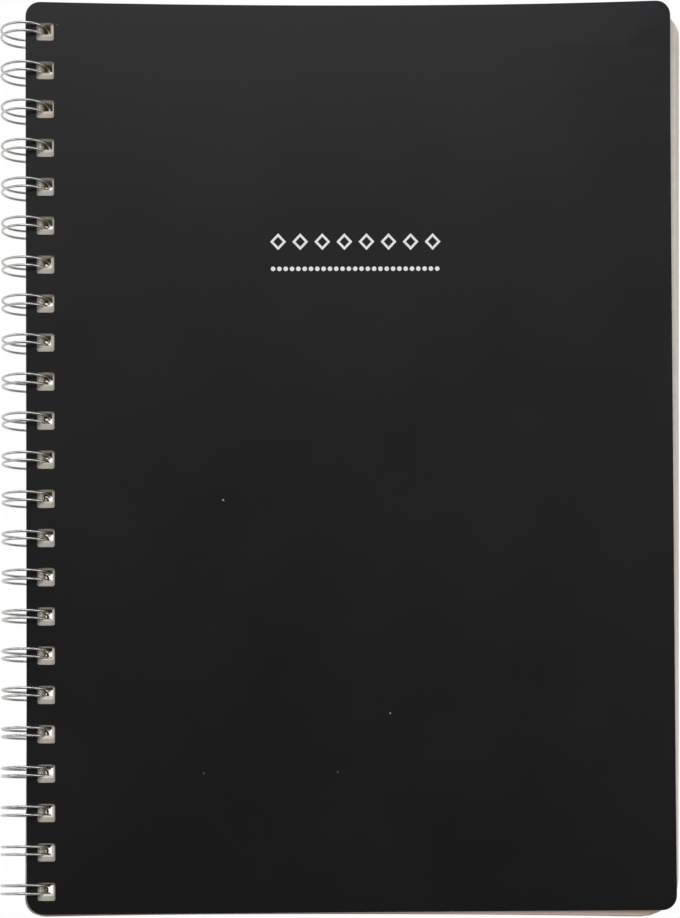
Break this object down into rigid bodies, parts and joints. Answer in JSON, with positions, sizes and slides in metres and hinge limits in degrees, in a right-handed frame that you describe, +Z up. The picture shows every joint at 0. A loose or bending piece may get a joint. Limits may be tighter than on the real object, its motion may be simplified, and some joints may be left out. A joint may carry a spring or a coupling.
{
  "type": "wire-bound notebook",
  "caption": "Portrait notebook with a black plastic front cover, a block of leaves and a grey board back, bound along the long side by a twin loop wire.",
  "frame": {"origin": "middle of the whole footprint, at the lowest point of the wire loops", "axes": "+X to the fore edge (the spine is at -X), +Y to the head, +Z up out of the front cover"},
  "size_m": [0.2206, 0.2982, 0.0155],
  "materials": {
    "cover_plastic": "smooth, slightly glossy",
    "paper": "matt",
    "board": "matt",
    "wire": "bright"
  },
  "bodies": {
    "leaves": {"page_block": "paper", "twin_loop_wire": "wire"},
    "front": {"front_cover": "cover_plastic"},
    "back": {"back_cover": "board"}
  },
  "joints": [
    {"name": "front_cover_hinge", "type": "hinge", "parent": "leaves", "child": "front", "pos_m": [-0.10241, 0, 0.00776], "axis": [0, -1, 0], "range_deg": [0, 180]},
    {"name": "back_cover_hinge", "type": "hinge", "parent": "leaves", "child": "back", "pos_m": [-0.10241, 0, 0.00776], "axis": [0, 1, 0], "range_deg": [0, 180]}
  ]
}
